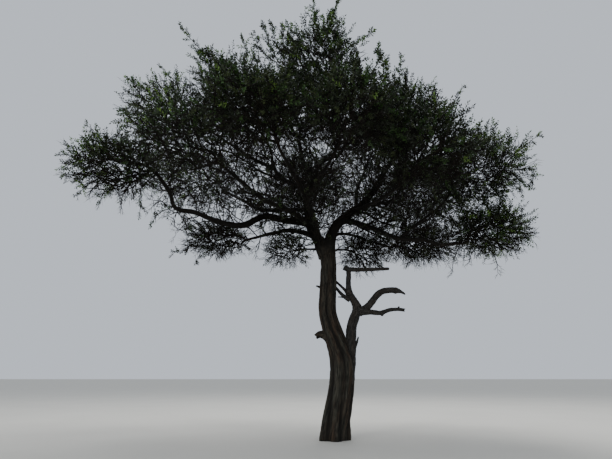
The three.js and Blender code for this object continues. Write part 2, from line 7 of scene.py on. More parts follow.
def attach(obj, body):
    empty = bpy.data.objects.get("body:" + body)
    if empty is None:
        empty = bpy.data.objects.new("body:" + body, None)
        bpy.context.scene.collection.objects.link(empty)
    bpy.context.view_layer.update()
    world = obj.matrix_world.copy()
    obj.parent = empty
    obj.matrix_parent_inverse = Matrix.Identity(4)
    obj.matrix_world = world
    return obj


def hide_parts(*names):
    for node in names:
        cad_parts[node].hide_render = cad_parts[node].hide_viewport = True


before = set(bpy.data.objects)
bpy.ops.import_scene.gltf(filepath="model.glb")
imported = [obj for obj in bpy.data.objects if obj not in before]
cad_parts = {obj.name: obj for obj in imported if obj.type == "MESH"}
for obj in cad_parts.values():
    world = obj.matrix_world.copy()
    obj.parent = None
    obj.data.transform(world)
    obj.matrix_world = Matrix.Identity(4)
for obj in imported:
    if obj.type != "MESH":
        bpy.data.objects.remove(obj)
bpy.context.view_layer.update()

# Where the photograph was taken from, in metres and degrees
PHOTO_WIDTH = 612
FOCAL_PIXELS = 460
EYE = (-0.731, -12.665, 1.5)
LOOK_UP = 17.835
SENSOR_WIDTH = 36  # millimetres
VIEW_DEPTH = 2000

# Studio: the floor's size, the air's colour and strength, and the point that the lamps face
FLOOR_SIZE = 900
AIR_COLOUR = (0.8, 0.86, 0.95, 1)
AIR_STRENGTH = 0.8
LIT_POINT = (0, 0, 6)

# Trunk: height, how far it leans to the right, and radius
TRUNK = [
    (-0.2, -0.04, 0.375),
    (0.25, 0.005, 0.355),
    (0.85, 0.11, 0.338),
    (1.5, 0.21, 0.325),
    (1.95, 0.215, 0.318),
    (2.4, 0.09, 0.29),
    (2.8, -0.05, 0.262),
    (3.2, -0.14, 0.23),
    (4.1, -0.11, 0.238),
    (4.7, -0.1, 0.225),
    (5.05, -0.15, 0.215),
    (5.25, -0.17, 0.13),
]
TRUNK_RING = 0.032  # from one ring of its mesh to the next
TRUNK_SIDES = 150
ROOT_TOES = 5
TOE_REACH = 0.16  # share of the radius
TOE_HEIGHT = 0.35
FLUTES = 7
FLUTE_RISE = 0.15  # share of the radius that a flute's back stands out
FLUTE_MEAN = 0.105

# Limbs: radius at the base and the tip, and the route of the middle line (right, away, up)
LIMBS = {
    "leader_left": (0.175, 0.07, [
        (-0.15, 0, 4.75), (-0.36, 0.03, 5.22), (-0.57, 0.1, 5.62), (-0.67, 0.25, 6.2), (-0.67, 0.5, 7.05),
        (-0.52, 0.62, 7.57), (-0.83, 0.8, 8.12), (-0.93, 0.9, 8.75),
    ]),
    "leader_right": (0.185, 0.065, [
        (-0.13, 0, 4.75), (-0.06, 0, 5.22), (0.12, 0.02, 5.66), (0.56, 0.1, 6.1), (0.94, 0.2, 6.41),
        (1.31, 0.1, 6.85), (1.64, -0.1, 7.4), (1.88, -0.45, 7.66),
    ]),
    "bough_left": (0.12, 0.055, [
        (-0.64, 0.2, 5.87), (-1.26, 0.1, 5.87), (-1.93, 0, 5.98), (-2.56, -0.2, 5.64), (-3.2, -0.4, 5.68),
        (-3.8, -0.6, 5.87), (-4.33, -0.8, 5.95), (-4.48, -0.95, 6.35), (-4.72, -1.1, 6.68),
    ]),
    "bough_low_left": (0.085, 0.042, [
        (-0.48, 0.06, 5.38), (-0.8, 0.08, 5.5), (-1.2, 0.1, 5.58), (-1.7, 0.22, 5.53), (-2.3, 0.4, 5.43),
    ]),
    "bough_back_left": (0.08, 0.042, [
        (-0.66, 0.3, 6.3), (-1.38, 0.65, 6.42), (-2.18, 0.95, 6.55), (-2.7, 1.35, 6.95),
        (-3.45, 1.95, 7.55),
    ]),
    "bough_shoulder_left": (0.085, 0.04, [
        (-0.68, 0.48, 7.02), (-1.38, 0.4, 7.3), (-1.71, 0.2, 7.62), (-1.82, -0.1, 8.12),
        (-2.02, -0.35, 8.4),
    ]),
    "bough_mid_left": (0.06, 0.035, [
        (-1.71, 0.2, 7.62), (-2.28, 0, 7.8), (-2.76, -0.25, 8.02), (-3.35, -0.45, 8.35),
    ]),
    "bough_front_left": (0.085, 0.04, [
        (-0.57, 0.1, 5.62), (-1, -0.7, 5.78), (-1.88, -1.5, 5.95), (-2.4, -2.05, 6.22),
        (-2.72, -2.4, 6.4),
    ]),
    "bough_near_left": (0.095, 0.042, [
        (-0.38, 0.03, 5.28), (-0.48, -0.5, 5.6), (-0.72, -1.3, 5.95), (-0.96, -2.1, 6.22),
        (-1.25, -2.95, 6.42),
    ]),
    "bough_near_right": (0.06, 0.036, [
        (-0.72, -1.3, 5.95), (-0.52, -2, 6.1), (-0.28, -2.6, 6.24), (-0.1, -3.02, 6.42),
    ]),
    "bough_top_front": (0.07, 0.036, [
        (-0.53, 0.61, 7.5), (-0.2, 0.4, 7.94), (0.3, 0.1, 8.05), (0.42, -0.5, 8.27), (0.22, -1.1, 8.6),
        (0.1, -1.45, 8.86),
    ]),
    "bough_back": (0.09, 0.042, [
        (-0.67, 0.3, 6.4), (-0.6, 1.2, 6.75), (-0.45, 2.2, 7.25), (-0.48, 3.05, 7.85),
    ]),
    "bough_upper_back": (0.07, 0.036, [
        (0.76, 0.15, 6.27), (0.86, 0.7, 7.05), (1.15, 1.25, 7.85), (1.38, 1.6, 8.5),
    ]),
    "bough_back_right": (0.08, 0.04, [(0.94, 0.2, 6.41), (1.5, 1.1, 6.78), (2.2, 1.95, 7.2)]),
    "bough_right": (0.095, 0.045, [
        (0.34, 0.06, 5.9), (1.09, 0, 5.65), (1.86, -0.2, 5.25), (2.6, -0.3, 5.17), (3, -0.3, 5.04),
        (3.6, -0.2, 5.1),
    ]),
    "bough_mid_right": (0.05, 0.032, [
        (1.95, -0.21, 5.24), (2.3, -0.3, 5.56), (2.72, -0.4, 5.85), (3.1, -0.5, 6.15),
    ]),
    "bough_front_right": (0.08, 0.038, [
        (0.56, 0.1, 6.1), (0.95, -0.75, 6.02), (1.2, -1.4, 5.95), (1.5, -2.05, 5.98),
    ]),
    "bough_low_right": (0.055, 0.03, [
        (-0.05, 0, 5.26), (0.22, 0.22, 5.5), (0.65, 0.5, 5.56), (1.15, 0.7, 5.44), (1.72, 0.9, 5.34),
    ]),
    "bough_skirt_left": (0.05, 0.03, [(-0.11, 0, 4.86), (-0.4, 0.03, 4.98), (-0.62, 0.06, 5)]),
    "bough_skirt_right": (0.045, 0.03, [(-0.12, 0, 4.8), (0.16, 0.22, 5.02), (0.36, 0.42, 5.08)]),
}

# Broken stubs on the trunk, and the dead branch that forks off it on the right
STUBS = {
    "stub_left": (0.15, 0.07, [
        (-0.05, 0, 2.48), (-0.2, -0.01, 2.58), (-0.35, -0.02, 2.6), (-0.455, -0.03, 2.54),
    ]),
    "stub_thorn": (0.07, 0.02, [(-0.2, -0.04, 3.85), (-0.36, -0.05, 3.885), (-0.44, -0.06, 3.91)]),
}
DEAD = {
    "dead_stem": (0.185, 0.125, [
        (0.27, 0, 1.3), (0.4, 0, 1.8), (0.47, 0, 2.3), (0.505, 0, 2.8), (0.57, 0, 3.02), (0.66, 0, 3.2),
        (0.78, 0, 3.25),
    ]),
    "dead_up_left": (0.125, 0.085, [(0.68, 0, 3.18), (0.65, 0, 3.39), (0.56, 0, 3.57), (0.46, 0, 3.71)]),
    "dead_prong_low": (0.065, 0.035, [
        (0.5, 0, 3.54), (0.32, 0.03, 3.64), (0.1, 0.2, 3.93), (0.03, 0.3, 4.02),
    ]),
    "dead_prong_high": (0.05, 0.028, [
        (0.45, 0, 3.69), (0.34, 0.04, 3.83), (0.11, 0.2, 4.1), (0.03, 0.3, 4.2),
    ]),
    "dead_snag": (0.035, 0.014, [(0.42, 0, 3.58), (0.28, -0.03, 3.605), (0.14, -0.05, 3.61)]),
    "dead_upright": (0.084, 0.066, [
        (0.48, 0, 3.64), (0.45, 0, 3.85), (0.463, 0, 4.25), (0.455, 0, 4.42),
    ]),
    "dead_level": (0.07, 0.042, [(0.33, 0, 4.47), (0.454, 0, 4.4), (0.9, 0, 4.39), (1.62, 0, 4.414)]),
    "dead_horn": (0.105, 0.082, [
        (0.7, 0, 3.2), (0.9, 0, 3.29), (1.075, 0, 3.465), (1.236, 0, 3.672), (1.39, 0, 3.776),
        (1.6, 0, 3.805), (1.84, 0, 3.785),
    ]),
    "dead_horn_point": (0.084, 0.02, [
        (1.72, 0, 3.8), (1.86, 0, 3.775), (1.95, 0, 3.735), (2.02, 0, 3.68),
    ]),
    "dead_lower": (0.085, 0.045, [
        (0.7, 0, 3.2), (1.02, 0, 3.2), (1.3, 0, 3.18), (1.42, 0, 3.215), (1.55, 0, 3.262),
        (1.8, 0, 3.276), (1.96, 0, 3.255),
    ]),
    "dead_lower_knob": (0.062, 0.032, [(1.34, 0, 3.2), (1.345, 0, 3.14), (1.36, 0, 3.09)]),
    "dead_lower_spur": (0.04, 0.016, [(1.79, 0, 3.27), (1.81, 0, 3.32), (1.825, 0, 3.37)]),
    "dead_stub": (0.07, 0.018, [(0.5, 0, 2.2), (0.61, -0.01, 2.35), (0.672, -0.02, 2.53)]),
}

# Foliage masses: the limb each grows from, its centre, its reach, how full it is of twigs, and the
# share of its sprays in leaf
MASSES = {
    "foliage_tip_left": ("bough_left", (-5.85, -1.3, 6.95), (1.5, 1.5, 0.85), 0.9, 0.95),
    "foliage_mid_left": ("bough_mid_left", (-4.85, -0.6, 8.95), (1.6, 1.7, 0.92), 0.56, 0.9),
    "foliage_front_left": ("bough_front_left", (-3.7, -3.2, 6.78), (1.45, 1.4, 0.87), 0.6, 1.05),
    "foliage_back_left": ("bough_back_left", (-4.8, 2.8, 8.4), (1.9, 1.8, 1.3), 0.6, 0.85),
    "foliage_low_left": ("bough_low_left", (-3.4, 0.6, 5.45), (1.2, 1.1, 0.55), 1, 0.42),
    "foliage_near_left": ("bough_near_left", (-1.95, -4, 6.98), (1.35, 1.3, 0.95), 0.95, 1.1),
    "foliage_near_right": ("bough_near_right", (0.3, -4, 6.88), (1.25, 1.3, 0.92), 1, 1.1),
    "foliage_shoulder_left": ("bough_shoulder_left", (-2.9, -0.9, 9.5), (1.65, 1.6, 1.15), 0.62, 0.95),
    "foliage_top_front": ("bough_top_front", (-0.4, -2.1, 9.7), (1.35, 1.4, 1.25), 0.65, 1.15),
    "foliage_top_back": ("leader_left", (-1, 1.1, 10.2), (2, 1.8, 1.4), 0.72, 1),
    "foliage_shoulder_right": ("leader_right", (1.95, -1, 8.6), (1.5, 1.6, 1.1), 0.72, 1),
    "foliage_front_right": ("bough_front_right", (2.05, -3.2, 6.5), (1.35, 1.4, 1), 1, 1.1),
    "foliage_mid_right": ("bough_mid_right", (4.2, -0.6, 7.2), (1.55, 1.7, 1.1), 0.85, 1.15),
    "foliage_tip_right": ("bough_right", (4.64, 0.1, 5.52), (1.36, 1.6, 0.75), 0.95, 1.15),
    "foliage_low_right": ("bough_low_right", (2.85, 1.3, 5.5), (1.4, 1.2, 0.7), 1.3, 0.4),
    "foliage_back_right": ("bough_back_right", (3.6, 3.1, 8), (1.9, 1.8, 1.35), 1.2, 0.85),
    "foliage_back": ("bough_back", (-0.6, 4.3, 8.8), (2.1, 1.6, 1.35), 0.82, 0.74),
    "foliage_upper_back": ("bough_upper_back", (1.9, 2.2, 9.6), (1.7, 1.6, 1.25), 0.8, 1.15),
    "foliage_skirt_left": ("bough_skirt_left", (-1.3, 0.1, 4.95), (0.85, 0.85, 0.45), 0.8, 0.35),
    "foliage_skirt_right": ("bough_skirt_right", (1.05, 1, 5.15), (0.95, 0.9, 0.65), 1.05, 0.3),
}

# Lesser boughs inside the crown, in the same form
LESSER_BOUGHS = {
    "lesser_right": (0.045, 0.02, [
        (0.56, 0.1, 6.1), (1.05, 0.35, 6.2), (1.49, 0.45, 5.98), (1.96, 0.5, 5.84), (2.37, 0.5, 5.72),
    ]),
    "lesser_right_low": (0.045, 0.02, [
        (0.2, 0.03, 5.74), (0.59, 0.3, 5.92), (0.94, 0.4, 5.75), (1.41, 0.4, 5.5), (1.76, 0.45, 5.38),
    ]),
    "lesser_right_high": (0.04, 0.02, [
        (0.75, 0.15, 6.26), (1, 0.35, 6.6), (1.4, 0.4, 6.5), (1.85, 0.4, 6.28),
    ]),
    "lesser_left": (0.045, 0.02, [
        (-1.38, 0.4, 7.3), (-2.1, 0.1, 7.45), (-2.6, -0.2, 7.7), (-3, -0.3, 7.9), (-3.4, -0.3, 7.98),
    ]),
    "lesser_left_low": (0.04, 0.02, [
        (-1.2, -0.9, 5.83), (-1.7, -0.7, 6.3), (-2.2, -0.5, 6.5), (-2.8, -0.4, 6.55),
    ]),
}

# Long shoots that stand out of the crown: the share of their sprays in leaf, and their route
SPRIGS = [
    # On the upper left shoulder
    (0.8, [(-3, -1.6, 9.69), (-3.65, -1.8, 10.28), (-4.31, -1.9, 11.02)]),
    (0.9, [(-2.9, -1.6, 9.6), (-3.3, -1.8, 9.95), (-3.72, -1.8, 10.2)]),
    (0.9, [(-3, -1.6, 9.69), (-3.45, -1.8, 10.15), (-3.85, -1.8, 10.42)]),
    (0.9, [(-2.7, -1.6, 9.8), (-3.15, -1.7, 10.15), (-3.62, -1.8, 10.4)]),
    # At the top
    (1, [(-0.4, -2.3, 10.47), (-0.51, -2.4, 11.05), (-0.5, -2.5, 11.37)]),
    (1, [(0.15, -2.3, 10.53), (0.04, -2.4, 11.05), (0.1, -2.4, 11.4)]),
    (1, [(0.38, -1.8, 10.35), (0.81, -1.8, 10.69), (1.2, -1.8, 10.97)]),
    # Along the crown, left of the top
    (1, [(-1.59, -2, 9.79), (-2.05, -2.1, 10.2), (-2.14, -2.1, 10.66)]),
    (1, [(-1.95, -2, 9.7), (-2.34, -2.1, 10.05), (-2.5, -2.1, 10.42)]),
    (1, [(-1.39, -2, 9.6), (-1.75, -2, 10.35), (-1.9, -2.1, 10.9)]),
    (1, [(-1.3, -2, 9.8), (-1.6, -2, 10.5), (-1.68, -2.1, 11.02)]),
    (1, [(-1.1, -2, 9.9), (-1.35, -2, 10.4), (-1.38, -2.1, 10.85)]),
    (1, [(-0.9, -2, 10), (-1.14, -2, 10.4), (-1.2, -2, 10.62)]),
    # At the left end
    (0.9, [(-5.49, -0.6, 9.75), (-5.95, -0.6, 10.08), (-6.3, -0.6, 10.3)]),
    (0.9, [(-4.68, -0.6, 10.1), (-4.98, -0.6, 10.4), (-5.22, -0.6, 10.65)]),
    (0.7, [(-6.77, -1.3, 7), (-7.15, -1.3, 7.25), (-7.45, -1.3, 7.37)]),
    (0.7, [(-6.68, -1.3, 6.41), (-7.1, -1.3, 6.65), (-7.38, -1.3, 6.72)]),
    (0.8, [(-6.32, -1.3, 7.6), (-6.59, -1.3, 7.98), (-6.84, -1.3, 8.2)]),
    # On the right
    (0.5, [(5.3, -0.6, 7.65), (5.72, -0.6, 8), (6.12, -0.6, 8.3)]),
    (0.35, [(3.3, -0.8, 8.85), (3.72, -0.8, 9.4), (3.99, -0.8, 9.82)]),
    (1, [(1.45, -1.5, 9.5), (1.5, -1.5, 10.1), (1.45, -1.5, 10.5)]),
    (1, [(1.88, -1.5, 9.3), (1.97, -1.5, 9.9), (2.02, -1.5, 10.33)]),
    # Hanging at the right end
    (0, [(4.6, 0.3, 5.15), (4.79, 0.3, 4.7), (4.77, 0.3, 4.33)]),
    (0, [(3.72, 0.3, 5.1), (3.54, 0.3, 4.7), (3.45, 0.3, 4.3)]),
    (0, [(4.2, 0.3, 5.1), (4.05, 0.3, 4.85), (3.98, 0.3, 4.62)]),
    # Hanging on the left
    (0.7, [(-3.9, 0.4, 5.25), (-4.32, 0.4, 5.07), (-4.61, 0.4, 4.98)]),
    (0.7, [(-3.7, 0.4, 5.25), (-3.84, 0.4, 4.95), (-3.94, 0.4, 4.75)]),
    (0.3, [(-6.28, -1.3, 6.61), (-6.68, -1.3, 6.3), (-6.79, -1.3, 6.08)]),
    (0.2, [(-5.8, -1.3, 6.5), (-6.12, -1.3, 6.15), (-6.19, -1.3, 5.84)]),
    (0.2, [(-5.45, -1.3, 6.4), (-5.62, -1.3, 6), (-5.58, -1.3, 5.7)]),
    (0.3, [(-5.15, -1.3, 6.3), (-5.1, -1.3, 5.95), (-5.1, -1.3, 5.6)]),
    (0.6, [(-4.36, -0.82, 5.98), (-4.75, -0.9, 5.73), (-4.91, -0.9, 5.44)]),
    (0.6, [(-4.1, -0.72, 5.92), (-4, -0.8, 5.53), (-3.86, -0.8, 5.19)]),
]

# Leafy shoots that close the gaps between masses: how many leave each mass, and which way they lean
CLOSING_SHOOTS = {
    "foliage_near_left": (8, (0.3, 0.6, 1.3)),
    "foliage_near_right": (8, (0.1, 0.5, 1.4)),
    "foliage_front_right": (6, (-0.6, 0.5, 1)),
    "foliage_front_left": (5, (0.5, 0.6, 1)),
    "foliage_top_front": (8, (0, -0.9, -0.7)),
    "foliage_shoulder_right": (6, (-0.5, -0.9, -0.6)),
    "foliage_upper_back": (5, (-0.5, -1.2, -0.1)),
    "foliage_tip_right": (7, (-0.7, -0.3, 0.6)),
    "foliage_back_right": (5, (0, -0.9, -0.7)),
    "foliage_mid_right": (7, (0.6, -0.1, -0.55)),
}

# Bark: how limbs taper, and its furrows
TAPER = 0.8
COLLAR = 0.3  # share of the radius by which a limb's root is thicker
COLLAR_LENGTH = 2.2  # in radii
BROAD_FURROW = 0.16  # half width, as a share of the pattern's
FINE_FURROW = 0.14
FINE_DEPTH = 0.55  # against a broad furrow
SHALLOW_BELOW = 0.06  # radius under which the relief is shallower
GRAIN_STRETCH = 7  # the pattern is so many times longer than wide
TWIG_STRETCH = 5
# The bark darkens above these heights as a painted shadow of the crown
CROWN_SHADE = (4.5, 5.15)  # heights between which the bark darkens

# Growth: the growing rule, carried to finer twigs
PATH_SHARE = 0.4
TWIG_TIP = 0.007
LOAD_POWER = 0.38  # of a twig's radius, by what it carries
STEM_SHARE = 0.9  # a mass's stem against its limb's tip
STEM_LENGTH = 5  # in radii
STEM_SUNK = 0.06
GOALS_PER_SQUARE_METRE = 46
LEAST_GOALS = 8  # in a shell
SHELLS = [(0.8, 0.26), (0.66, 0.24), (0.52, 0.18), (0.36, 0.1)]  # share of the depth and of the goals
LUMPS = 2.8  # how closely a shell's dents and bulges follow each other
LUMP_DEPTH = 0.4
MOVES_IN = 24  # of a goal that isn't in its mass's space yet
MOVE_IN = 0.04
LEAST_DEPTH = 0.12
PLUME_SHARE = 0.05  # share of the goals that start a plume, a run of goals outward
PLUME_DEPTHS = [0.58, 0.66, 0.74, 0.82, 0.89, 0.95, 1]
SHOOT_LENGTHS = (0.7, 2.1)
SHOOT_GAPS = (0.09, 0.2)
SHOOT_RADIUS = 0.018
SHOOT_GOALS = 11  # a metre
SHOOT_SPRAY = 0.28
SHOOT_LEAFY = 0.25
SPRIG_RADII = (0.013, 0.005)
SPRIG_SPRAY = 0.32
SPRIG_TAPER = 0.17  # how much shorter its last spray is
GOLDEN_ANGLE = math.pi * (3 - math.sqrt(5))
MIDDLE = -0.5  # twigs to the left of it are joined apart from those to its right

# Sprays and leaves
SPRAY_LENGTH = 0.27
SPRAY_TWIG = 0.0065  # radius of a spray's own twig at its foot
FORKS_ON_BARE_SPRAY = 4
FORK_LENGTHS = (0.22, 0.45)
LEAVES_ON_SPRAY = 13
LEAF_LENGTH = 0.078
LEAF_WIDTH = 0.036
LEAF_WIDEST = 0.42  # share of its length
LEAF_FOLD = 0.06
LEAF_SIZES = (0.72, 1.25)

# Greens: the two that each is mottled with, and how they are dealt out by a spray's place. The darker
# greens deep in the crown are painted shade, and the palest green at the outer rim is partly young growth
# and partly painted light
LEAF_TONES = {
    "shade": ("#161d10", "#1e2716"),
    "dark": ("#1e2715", "#28331c"),
    "olive": ("#2c361b", "#394522"),
    "green": ("#263d17", "#32501f"),
    # Palest green: young growth, and painted light on the crown's outer rim
    "young_and_lit": ("#4a6424", "#618034"),
}
TONE_LIMITS = [0.2, 0.4, 0.62, 0.84]
TONE_SHIFT = 0.9
EVEN_AT = 0.85  # share of the crown's reach where the greens are dealt out evenly
CROWN_MIDDLE = (-0.7, 0.2, 5.5)
CROWN_REACH = (6.6, 7.6, 5.8)

# Patterns of the finishes, in repeats a metre
BLOOM_PATCHES = 3.1  # about 320 mm across
WARM_STREAKS = 7  # about 140 mm wide
LEAF_MOTTLE = 11  # about 90 mm, so each leaf differs from the next
LEAF_VEINS = 160  # 6 mm apart, coarser than life, so that they show
FLOOR_DRIFT = 0.4  # about 2.5 m

chance = np.random.default_rng(4100)


# Camera, floor and light
def set_camera():
    bpy.ops.object.camera_add(location=EYE, rotation=(math.radians(90 + LOOK_UP), 0, 0))
    camera = bpy.context.object
    camera.name = "photo_view"
    camera.data.sensor_width = SENSOR_WIDTH
    camera.data.lens = SENSOR_WIDTH * FOCAL_PIXELS / PHOTO_WIDTH
    camera.data.clip_end = VIEW_DEPTH
    bpy.context.scene.camera = camera


def add_softbox(name, place, size, power):
    """A round lamp that faces the crown."""
    bpy.ops.object.light_add(type="AREA", location=place)
    lamp = bpy.context.object
    lamp.name = name
    lamp.data.shape = "DISK"
    lamp.data.size = size
    lamp.data.energy = power
    facing = Vector(LIT_POINT) - Vector(place)
    lamp.rotation_euler = facing.to_track_quat("-Z", "Y").to_euler()


def set_studio():
    bpy.ops.mesh.primitive_plane_add(size=FLOOR_SIZE)
    floor = bpy.context.object
    floor.name = "studio_floor"
    floor.data.materials.append(finish_floor())
    world = bpy.data.worlds.new("studio_air")
    world.use_nodes = True
    air = world.node_tree.nodes["Background"]
    air.inputs["Color"].default_value = AIR_COLOUR
    air.inputs["Strength"].default_value = AIR_STRENGTH
    bpy.context.scene.world = world
    add_softbox("softbox_above", place=(4, 8, 26), size=14, power=5200)
    add_softbox("softbox_front", place=(-15, -20, 12), size=9, power=1900)


# Materials
def linear(colour):
    """A #rrggbb colour as the linear values that the shaders take, by the sRGB curve."""
    parts = [int(colour[i:i + 2], 16) / 255 for i in (1, 3, 5)]
    return tuple(p / 12.92 if p <= 0.04045 else ((p + 0.055) / 1.055) ** 2.4 for p in parts) + (1,)


def feed(material, node, **feeds):
    """Each named input gets a plain value, or the socket that it comes from. in_0 is input 0."""
    for name, value in feeds.items():
        key = int(name[3:]) if name.startswith("in_") else name.replace("_", " ")
        if isinstance(value, bpy.types.NodeSocket):
            material.node_tree.links.new(value, node.inputs[key])
        else:
            node.inputs[key].default_value = value


def add_node(material, kind, settings=None, **feeds):
    """One node with its settings and links."""
    made = material.node_tree.nodes.new("ShaderNode" + kind)
    for name, value in (settings or {}).items():
        setattr(made, name, value)
    feed(material, made, **feeds)
    return made


# The next four each add a node and give the socket of its result
def noise_at(material, place, **feeds):
    return add_node(material, "TexNoise", Vector=place, **feeds).outputs["Fac"]


def ranged(material, value, **limits):
    """A value moved from one range to another."""
    return add_node(material, "MapRange", Value=value, **limits).outputs["Result"]


def mixed(material, share, first, second):
    """Two colours mixed by a share."""
    settings = {"data_type": "RGBA"}
    return add_node(material, "Mix", settings, in_0=share, in_6=first, in_7=second).outputs[2]


def ramp(material, value, stops):
    """A value's colour between two (value, colour) stops."""
    made = add_node(material, "ValToRGB", Fac=value)
    for element, (position, colour) in zip(made.color_ramp.elements, stops):
        element.position = position
        element.color = linear(colour)
    return made.outputs["Color"]


def new_material(name):
    """An empty material and its shader."""
    material = bpy.data.materials.new(name)
    material.use_nodes = True
    return material, material.node_tree.nodes["Principled BSDF"]


def finish_bark(name, ridge, warm, groove_and_shade, patch, width, bump, crown_shadow_strength=0):
    """Furrowed, dull bark: ridges from grey to a warm brown, dark furrows that run with the grain,
    patches of grey bloom, painted shade deeper in the carved furrows and the flutes' hollows, and a
    painted shadow of the crown up among the limbs. width and bump are a furrow's."""
    material, shader = new_material(name)
    grain = add_node(material, "Attribute", {"attribute_name": "grain"}).outputs["Vector"]
    hollow_and_shade = add_node(material, "Attribute", {"attribute_name": "hollow_and_shade"}).outputs["Fac"]
    place = add_node(material, "TexCoord").outputs["Object"]
    cracks = noise_at(material, grain, Scale=1 / width, Detail=5, Roughness=0.62, Distortion=0.4)
    crack_line = ramp(material, cracks, [(0.34, "#000000"), (0.6, "#ffffff")])
    bloom = noise_at(material, place, Scale=BLOOM_PATCHES, Detail=4, Roughness=0.6)
    bloom_edge = ramp(material, bloom, [(0.46, "#000000"), (0.66, "#b0b0b0")])
    drift = noise_at(material, grain, Scale=WARM_STREAKS, Detail=2)
    drift_edge = ranged(material, drift, From_Min=0.42, From_Max=0.6)
    body = mixed(material, drift_edge, linear(ridge), linear(warm))
    ridges = mixed(material, bloom_edge, body, linear(patch))
    cracked = mixed(material, crack_line, linear(groove_and_shade), ridges)
    # Painted shade: the deeper a place lies in a furrow or a flute's hollow, the nearer its colour comes
    # to the groove colour
    shade = ranged(material, hollow_and_shade, To_Max=0.9)
    furrow_shaded = mixed(material, shade, cracked, linear(groove_and_shade))
    # Painted shadow of the crown: above these heights the bark darkens towards the groove colour
    height = add_node(material, "SeparateXYZ", Vector=place).outputs["Z"]
    crown = ranged(material, height, From_Min=CROWN_SHADE[0], From_Max=CROWN_SHADE[1], To_Max=crown_shadow_strength)
    crown_shadowed = mixed(material, crown, furrow_shaded, linear(groove_and_shade))
    rough = ranged(material, cracks, To_Min=0.95, To_Max=0.78)
    relief = add_node(material, "Bump", Strength=0.9, Distance=bump, Height=cracks)
    feed(material, shader, Specular_IOR_Level=0.2, Base_Color=crown_shadowed, Roughness=rough,
         Normal=relief.outputs["Normal"])
    return material


def finish_leaf(name, colour, pale):
    """Small dull leaf: one green per spray, mottled from leaf to leaf, with a faint waxy shine."""
    material, shader = new_material(name)
    place = add_node(material, "TexCoord").outputs["Object"]
    mottle = noise_at(material, place, Scale=LEAF_MOTTLE, Detail=3, Roughness=0.6)
    edge = ranged(material, mottle, From_Min=0.35, From_Max=0.68)
    tint = mixed(material, edge, linear(colour), linear(pale))
    rough = ranged(material, mottle, To_Min=0.5, To_Max=0.72)
    veins = noise_at(material, place, Scale=LEAF_VEINS, Detail=2)
    relief = add_node(material, "Bump", Strength=0.4, Distance=0.001, Height=veins)
    feed(material, shader, Specular_IOR_Level=0.3, Base_Color=tint, Roughness=rough,
         Normal=relief.outputs["Normal"])
    return material


def finish_floor():
    """Plain pale studio floor with a faint unevenness."""
    material, shader = new_material("pale_studio_floor")
    place = add_node(material, "TexCoord").outputs["Object"]
    drift = noise_at(material, place, Scale=FLOOR_DRIFT, Detail=3)
    tone = mixed(material, drift, linear("#c9c6bd"), linear("#d6d3ca"))
    feed(material, shader, Roughness=0.85, Base_Color=tone)
    return material


# Smooth lines
FINE_STEPS = 24  # between two knots


def unit(rows):
    """Directions made one metre long."""
    return rows / (np.linalg.norm(rows, axis=-1)[..., None] + 1e-9)


def length_along(points):
    return np.concatenate([[0], np.cumsum(np.linalg.norm(np.diff(points, axis=0), axis=1))])


def turns_of(sides):
    """Angles once round."""
    return 2 * np.pi * np.arange(sides) / sides


def turned(side, over, angle):
    """A direction between two that cross, at an angle from the first."""
    return side * np.cos(angle) + over * np.sin(angle)


def smooth_line(route, step):
    """Points a given step apart on a smooth line through the route, with the line's direction and how
    far along it is at each. Knots spaced by root lengths keep it free of loops."""
    knots = [Vector(p) for p in route]
    knots = [2 * knots[0] - knots[1]] + knots + [2 * knots[-1] - knots[-2]]
    fine = []
    for a, b, c, d in zip(knots, knots[1:], knots[2:], knots[3:]):
        tb = (b - a).length ** 0.5
        tc = tb + (c - b).length ** 0.5
        td = tc + (d - c).length ** 0.5
        for i in range(FINE_STEPS):
            t = tb + (tc - tb) * i / FINE_STEPS
            ab = a.lerp(b, t / tb)
            bc = b.lerp(c, (t - tb) / (tc - tb))
            cd = c.lerp(d, (t - tc) / (td - tc))
            low = ab.lerp(bc, t / tc)
            high = bc.lerp(cd, (t - tb) / (td - tb))
            fine.append(low.lerp(high, (t - tb) / (tc - tb)))
    fine = np.array(fine + [knots[-2]])
    gone = length_along(fine)
    count = max(4, round(gone[-1] / step))
    stops = np.linspace(0, gone[-1], count + 1)
    points = np.stack([np.interp(stops, gone, fine[:, i]) for i in range(3)], axis=1)
    heading = np.gradient(points, axis=0)
    heading /= np.linalg.norm(heading, axis=1)[:, None]
    return points, heading, stops


def frames_along(heading):
    """Two directions across each point of a line, turned as little as may be from one to the next."""
    across = np.zeros_like(heading)
    last = np.array([1.0, 0, 0]) if abs(heading[0][0]) < 0.9 else np.array([0, 1.0, 0])
    for i, way in enumerate(heading):
        last = last - way * last.dot(way)
        last /= np.linalg.norm(last)
        across[i] = last
    return across, np.cross(heading, across)


# Wood: a grid rolled round the middle line, with the bark's relief
def mark_bark(mesh, grain, hollow_and_shade=None):
    """What the bark's finish reads: places on its unrolled surface, and how deep in a furrow they are,
    which it darkens as painted shade.
    """
    mesh.attributes.new("grain", "FLOAT_VECTOR", "POINT").data.foreach_set("vector", grain.ravel())
    painted_hollow_shade = mesh.attributes.new("hollow_and_shade", "FLOAT", "POINT")
    if hollow_and_shade is not None:
        painted_hollow_shade.data.foreach_set("value", hollow_and_shade)


def furrow_depth(spots, width):
    """0 on a ridge of the bark and 1 in a furrow, for places on its unrolled surface."""
    depth = np.empty(len(spots))
    for i, spot in enumerate(spots):
        at = Vector(spot) / width
        broad = abs(noise.noise(at))
        fine = abs(noise.noise(at * 2.3 + Vector((7, 3, 1))))
        broad_depth = math.exp(-((broad / BROAD_FURROW) ** 2))
        fine_depth = FINE_DEPTH * math.exp(-((fine / FINE_FURROW) ** 2))
        depth[i] = max(broad_depth, fine_depth)
    return depth


